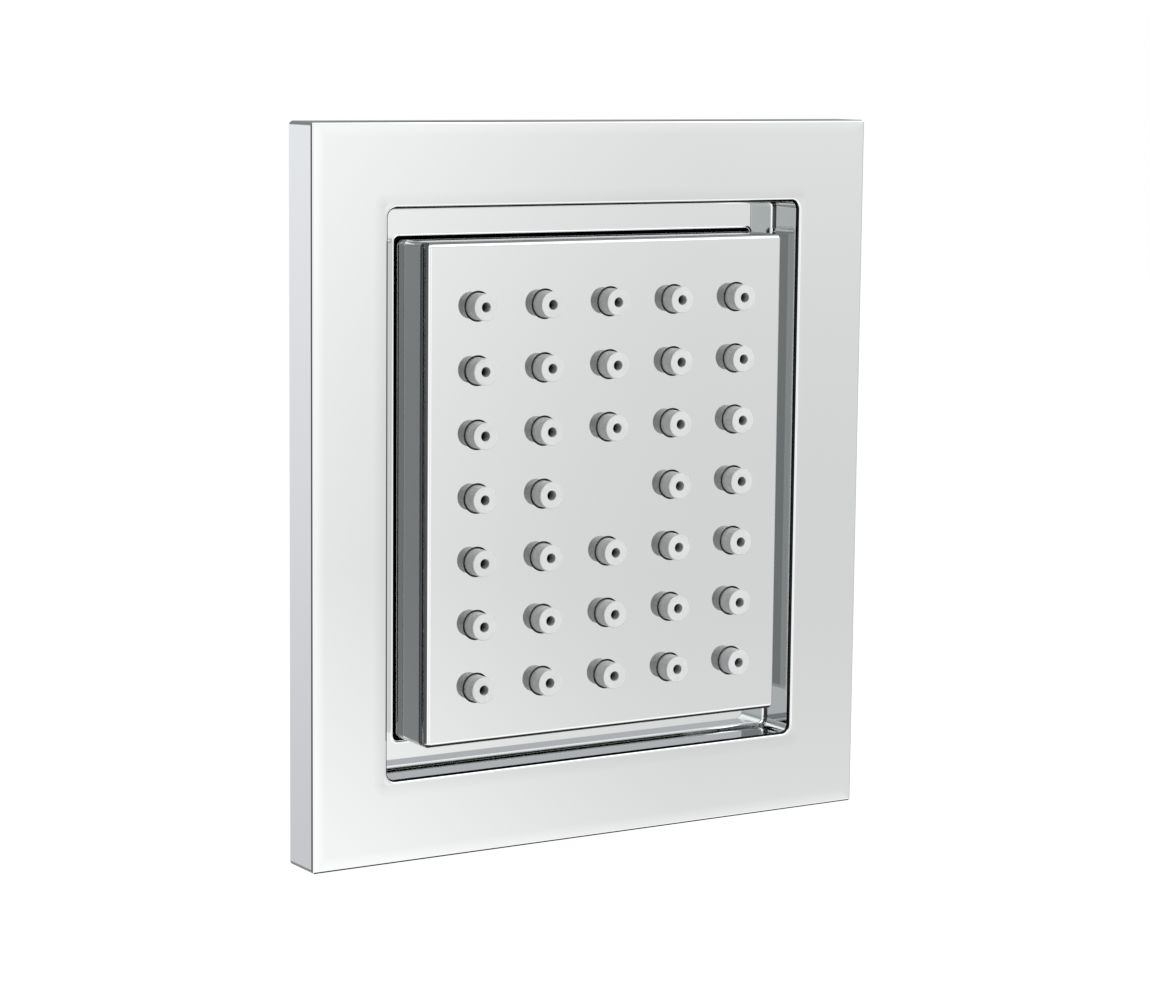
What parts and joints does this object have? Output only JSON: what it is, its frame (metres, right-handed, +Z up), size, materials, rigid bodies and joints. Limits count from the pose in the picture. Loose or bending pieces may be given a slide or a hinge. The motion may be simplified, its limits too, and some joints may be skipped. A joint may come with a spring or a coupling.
{
  "type": "shower body jet",
  "caption": "Rectangular shower body jet: a chromed wall plate with a deep recess, in which a flat spray head with soft nozzles swivels on a hidden ball joint.",
  "frame": {"origin": "middle of the plate on the wall's surface, which is the middle of the box's fixing holes", "axes": "+X to the right as seen from the room, +Y into the wall, +Z up"},
  "size_m": [0.125, 0.0692, 0.14],
  "materials": {
    "plate_chrome": "mirror-polished chrome plate",
    "head_chrome": "mirror-polished chrome plate",
    "silicone": "pale grey silicone, satin",
    "black_rubber": "black rubber, matte",
    "box_plastic": "dark grey moulded plastic, fine texture",
    "cover_plastic": "mid grey moulded plastic, fine texture",
    "white_plastic": "white moulded plastic, smooth",
    "brass": "turned brass, fine tool marks",
    "steel": "stainless steel"
  },
  "bodies": {
    "wall_set": {"face_plate": "plate_chrome", "plate_gasket": "black_rubber", "set_screws": "steel", "wall_box": "box_plastic", "inlet_nipple": "brass", "nipple_washer": "black_rubber", "lock_washer": "steel", "lock_nut": "brass", "flow_limiter": "white_plastic", "limiter_oring": "black_rubber", "inlet_filter": "steel", "ball_stem": "brass", "stem_oring": "black_rubber"},
    "ball_seat": {"seat_ring": "white_plastic"},
    "spray_head": {"spray_face": "head_chrome", "nozzle_mat": "silicone", "distributor_plate": "white_plastic", "head_back": "cover_plastic", "head_seal": "black_rubber", "head_screws": "steel", "ball_seal": "black_rubber", "retaining_collar": "cover_plastic"}
  },
  "joints": [
    {"name": "head_pan", "type": "hinge", "parent": "wall_set", "child": "ball_seat", "pos_m": [0, 0.00125, 0], "axis": [0, 0, 1], "range_deg": [-4, 4]},
    {"name": "head_tilt", "type": "hinge", "parent": "ball_seat", "child": "spray_head", "pos_m": [0, 0.00125, 0], "axis": [1, 0, 0], "range_deg": [-4, 4]}
  ]
}
